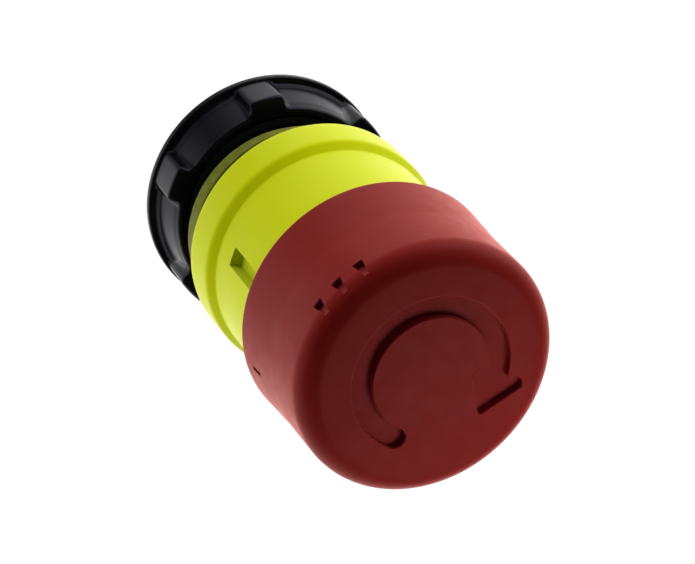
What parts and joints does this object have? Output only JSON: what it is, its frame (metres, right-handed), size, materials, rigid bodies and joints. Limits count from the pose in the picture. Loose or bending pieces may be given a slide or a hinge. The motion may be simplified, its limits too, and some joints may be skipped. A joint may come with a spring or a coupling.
{
  "type": "emergency stop button",
  "caption": "Palm-cap emergency stop actuator head with yellow collar, turn-to-release cap, latched press travel and threaded neck with a six-ribbed panel nut.",
  "frame": {"origin": "actuator axis in the plane of the panel seating face", "axes": "+Z along the axis towards the operator, -Z into the enclosure; the sleeve's keyway is at +Y and the turn arrow sweeps clockwise past -Y"},
  "size_m": [0.0302, 0.0302, 0.056],
  "materials": {
    "red_plastic": "fine satin grain, moulded",
    "yellow_plastic": "satin moulded",
    "black_plastic": "glossy moulded",
    "black_moulding": "satin glass-filled moulding",
    "acetal": "satin natural",
    "rubber": "matte nitrile",
    "spring_steel": "drawn wire",
    "zinc_steel": "zinc plated"
  },
  "bodies": {
    "housing": {"collar": "yellow_plastic", "threaded_sleeve": "black_moulding", "sleeve_o_ring": "rubber", "panel_gasket": "rubber", "guide_bush": "acetal", "bush_retaining_ring": "spring_steel", "cap_wiper": "rubber", "return_spring": "spring_steel"},
    "plunger": {"plunger": "acetal", "plunger_o_ring": "rubber", "stem_retaining_ring": "spring_steel", "thrust_washer": "zinc_steel", "spring_seat": "zinc_steel", "turn_return_spring": "spring_steel", "latch_spring": "spring_steel", "contact_foot": "acetal", "foot_screw": "zinc_steel"},
    "cap": {"palm_cap": "red_plastic", "cap_hub": "black_moulding", "hub_screws": "zinc_steel", "release_cam": "acetal"},
    "latch_right": {"latch_pin_right": "zinc_steel"},
    "latch_left": {"latch_pin_left": "zinc_steel"},
    "nut_carrier": {"keyed_washer": "black_moulding"},
    "nut": {"panel_nut": "black_plastic"}
  },
  "joints": [
    {"name": "press", "type": "slide", "parent": "housing", "child": "plunger", "axis": [0, 0, -1], "range_m": [0, 0.004], "stiffness_N_per_m": 2500, "springref_m": -0.002, "deforming": ["return_spring"]},
    {"name": "turn_to_release", "type": "hinge", "parent": "plunger", "child": "cap", "pos_m": [0, 0, 0.03], "axis": [0, 0, -1], "range_deg": [0, 35], "stiffness_Nm_per_rad": 0.02},
    {"name": "latch_right_slide", "type": "slide", "parent": "plunger", "child": "latch_right", "axis": [1, 0, 0], "range_m": [0, 0.000801]},
    {"name": "latch_left_slide", "type": "slide", "parent": "plunger", "child": "latch_left", "axis": [-1, 0, 0], "range_m": [0, 0.000801]},
    {"name": "nut_travel", "type": "slide", "parent": "housing", "child": "nut_carrier", "axis": [0, 0, -1], "range_m": [0, 0.00601]},
    {"name": "nut_turn", "type": "hinge", "parent": "nut_carrier", "child": "nut", "pos_m": [0, 0, -0.005], "axis": [0, 0, -1], "range_deg": [0, 1440]}
  ],
  "couplings": [
    {"joint": "latch_right_slide", "follows": "press", "ratio": 0.2},
    {"joint": "latch_left_slide", "follows": "press", "ratio": 0.2},
    {"joint": "nut_travel", "follows": "nut_turn", "m_per_rad": 0.00023873}
  ]
}
